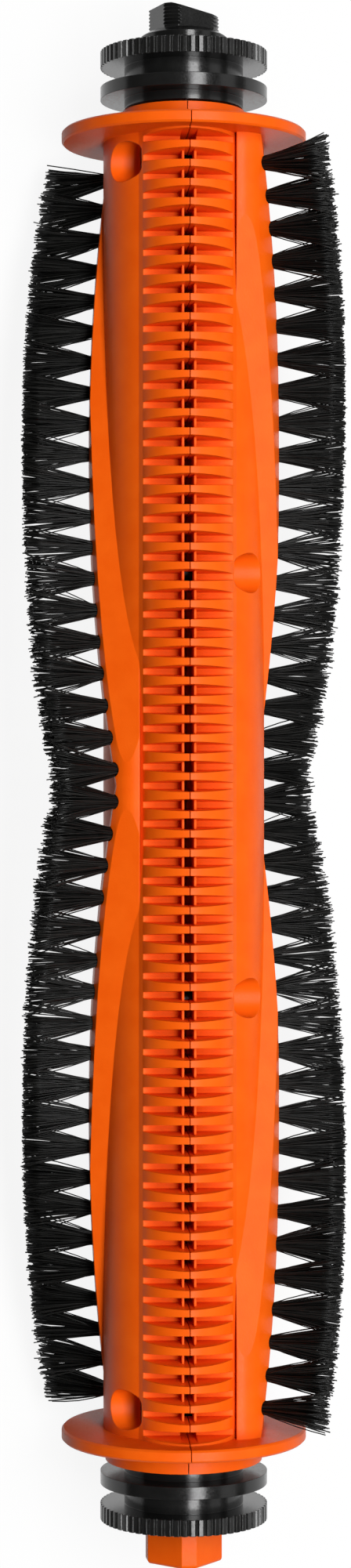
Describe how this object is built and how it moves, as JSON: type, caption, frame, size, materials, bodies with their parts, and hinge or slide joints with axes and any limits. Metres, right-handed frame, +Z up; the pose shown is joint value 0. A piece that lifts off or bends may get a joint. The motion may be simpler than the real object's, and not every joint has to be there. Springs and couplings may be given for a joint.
{
  "type": "robot vacuum roller brush",
  "caption": "Roller brush with V rows of bristles on a finned two-part body, a square drive stub and running end caps that seat in a robot vacuum's brush bay.",
  "frame": {"origin": "centre of the bounding box, on the roller's axis at mid length", "axes": "+Y along the axis from the square drive stub to the keyed idle end, +Z up as it lies on its flanges with a seam on top"},
  "size_m": [0.0396, 0.188, 0.0296],
  "materials": {
    "orange_plastic": "moulded, satin orange",
    "black_plastic": "moulded, satin black",
    "bristle": "black nylon filaments",
    "anchor_wire": "drawn flat wire",
    "steel": "ground steel",
    "black_steel": "blackened screws",
    "cage_plastic": "natural nylon",
    "felt": "pressed grey felt"
  },
  "bodies": {
    "roller": {"body_half_left": "orange_plastic", "body_half_right": "orange_plastic", "drive_stub": "orange_plastic", "bristle_row_left": "bristle", "bristle_row_right": "bristle", "tuft_anchors_left": "anchor_wire", "tuft_anchors_right": "anchor_wire", "body_screws": "black_steel", "core_shaft": "steel", "shaft_pins": "steel", "drive_spacer_ring": "steel", "idle_spacer_ring": "steel", "drive_bearing_inner_ring": "steel", "idle_bearing_inner_ring": "steel"},
    "drive_cap": {"drive_end_cap": "black_plastic", "drive_bearing_outer_ring": "steel", "drive_bearing_balls": "steel", "drive_bearing_cage": "cage_plastic", "drive_felt_washer": "felt"},
    "idle_cap": {"idle_end_cap": "black_plastic", "idle_bearing_outer_ring": "steel", "idle_bearing_balls": "steel", "idle_bearing_cage": "cage_plastic", "idle_felt_washer": "felt"}
  },
  "joints": [
    {"name": "drive_cap_spin", "type": "hinge", "parent": "roller", "child": "drive_cap", "pos_m": [0, -0.085, 0], "axis": [0, 1, 0], "continuous": true},
    {"name": "idle_cap_spin", "type": "hinge", "parent": "roller", "child": "idle_cap", "pos_m": [0, 0.085, 0], "axis": [0, 1, 0], "continuous": true}
  ]
}
